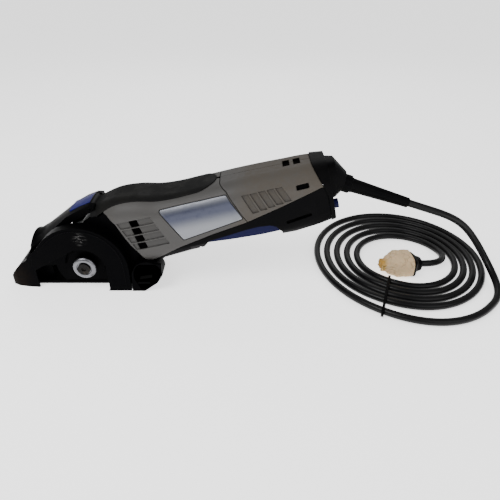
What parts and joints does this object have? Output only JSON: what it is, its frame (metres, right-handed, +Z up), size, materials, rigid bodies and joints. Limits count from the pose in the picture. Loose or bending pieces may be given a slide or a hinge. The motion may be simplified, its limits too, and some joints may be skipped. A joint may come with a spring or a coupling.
{
  "type": "compact circular saw",
  "caption": "Compact corded circular saw with a worm-driven spindle, fixed blade guard, swinging foot, paddle trigger and coiled supply cord.",
  "frame": {"origin": "on the floor under the middle of the saw's own box, its cord, boot, tie and plug left out", "axes": "+Z up; -X towards the nose of the foot, +X towards the cord; -Y towards the blade side"},
  "size_m": [0.4801, 0.2116, 0.1258],
  "materials": {
    "grey_plastic": "satin moulded, worn",
    "black_plastic": "matte moulded",
    "grip_rubber": "soft matte",
    "blue_plastic": "semi-gloss",
    "silver_plate": "satin silver",
    "steel": "turned",
    "dark_steel": "blackened",
    "copper": "drawn copper",
    "brass": "machined",
    "carbon": "dull",
    "cord_rubber": "smooth satin",
    "paper": "matt folded paper"
  },
  "bodies": {
    "housing": {"front_housing_left": "grey_plastic", "front_housing_right": "grey_plastic", "rear_cover_left": "grey_plastic", "rear_cover_right": "grey_plastic", "underbody_left": "black_plastic", "underbody_right": "black_plastic", "tail_cap": "black_plastic", "top_grip": "grip_rubber", "name_plate": "silver_plate", "housing_screw_1": "steel", "housing_screw_2": "steel", "housing_screw_3": "steel", "gear_case": "black_plastic", "gear_cover": "black_plastic", "blade_guard": "black_plastic", "guard_screw_1": "steel", "guard_screw_2": "steel", "field_core": "dark_steel", "field_coil_top": "copper", "field_coil_bottom": "copper", "front_motor_bearing": "steel", "rear_motor_bearing": "steel", "brush_holder_left": "brass", "brush_holder_right": "brass", "brush_left": "carbon", "brush_right": "carbon", "spindle_bearing_left": "steel", "spindle_bearing_right": "steel", "switch_block": "black_plastic", "trigger_pin": "steel", "trigger_spring": "steel", "lock_spring": "steel", "foot_spring": "steel", "cord_boot": "cord_rubber", "cord_lead": "cord_rubber", "cord_coil": "cord_rubber", "cord_tail": "cord_rubber", "cord_tie": "black_plastic", "plug_body": "black_plastic", "plug_prong_1": "brass", "plug_prong_2": "brass", "plug_wrap": "paper"},
    "foot": {"foot": "black_plastic", "foot_pin": "steel", "lever_pin": "steel"},
    "depth_lever": {"depth_lever": "blue_plastic"},
    "spindle": {"spindle": "steel", "worm_wheel": "brass", "inner_flange": "dark_steel", "clamp_washer": "steel", "blade_screw": "dark_steel"},
    "armature": {"armature_shaft": "steel", "armature_core": "dark_steel", "commutator": "copper", "fan": "black_plastic"},
    "trigger": {"trigger": "blue_plastic"},
    "lock_off": {"lock_off": "black_plastic"},
    "lock_button": {"spindle_lock_button": "black_plastic"},
    "hex_key": {"hex_key": "blue_plastic"}
  },
  "joints": [
    {"name": "motor_spin", "type": "hinge", "parent": "housing", "child": "armature", "pos_m": [-0.08891, 0, 0.04376], "axis": [0.9732, 0, 0.23], "continuous": true},
    {"name": "spindle_spin", "type": "hinge", "parent": "housing", "child": "spindle", "pos_m": [-0.08431, 0, 0.0243], "axis": [0, 1, 0], "continuous": true},
    {"name": "foot_swing", "type": "hinge", "parent": "housing", "child": "foot", "pos_m": [-0.02431, 0, 0.0185], "axis": [0, -1, 0], "range_deg": [0, 19]},
    {"name": "depth_lever_lift", "type": "hinge", "parent": "foot", "child": "depth_lever", "pos_m": [-0.07268, 0, 0.0819], "axis": [0, 1, 0], "range_deg": [0, 60]},
    {"name": "trigger_squeeze", "type": "hinge", "parent": "housing", "child": "trigger", "pos_m": [0.02739, 0, 0.04516], "axis": [0, -1, 0], "range_deg": [0, 4], "stiffness_Nm_per_rad": 1.4, "springref_deg": -8.59, "deforming": ["trigger_spring"]},
    {"name": "lock_off_push", "type": "hinge", "parent": "trigger", "child": "lock_off", "pos_m": [0.07925, 0, 0.05834], "axis": [0, -1, 0], "range_deg": [0, 12], "stiffness_Nm_per_rad": 0.05, "springref_deg": -11.46},
    {"name": "spindle_lock_press", "type": "slide", "parent": "housing", "child": "lock_button", "axis": [0, -1, 0], "range_m": [0, 0.002], "stiffness_N_per_m": 800, "springref_m": -0.002, "deforming": ["lock_spring"]},
    {"name": "hex_key_pull", "type": "slide", "parent": "housing", "child": "hex_key", "axis": [0.9732, 0, 0.23], "range_m": [0, 0.04]}
  ],
  "couplings": [
    {"joint": "spindle_spin", "follows": "motor_spin", "ratio": -0.5}
  ]
}
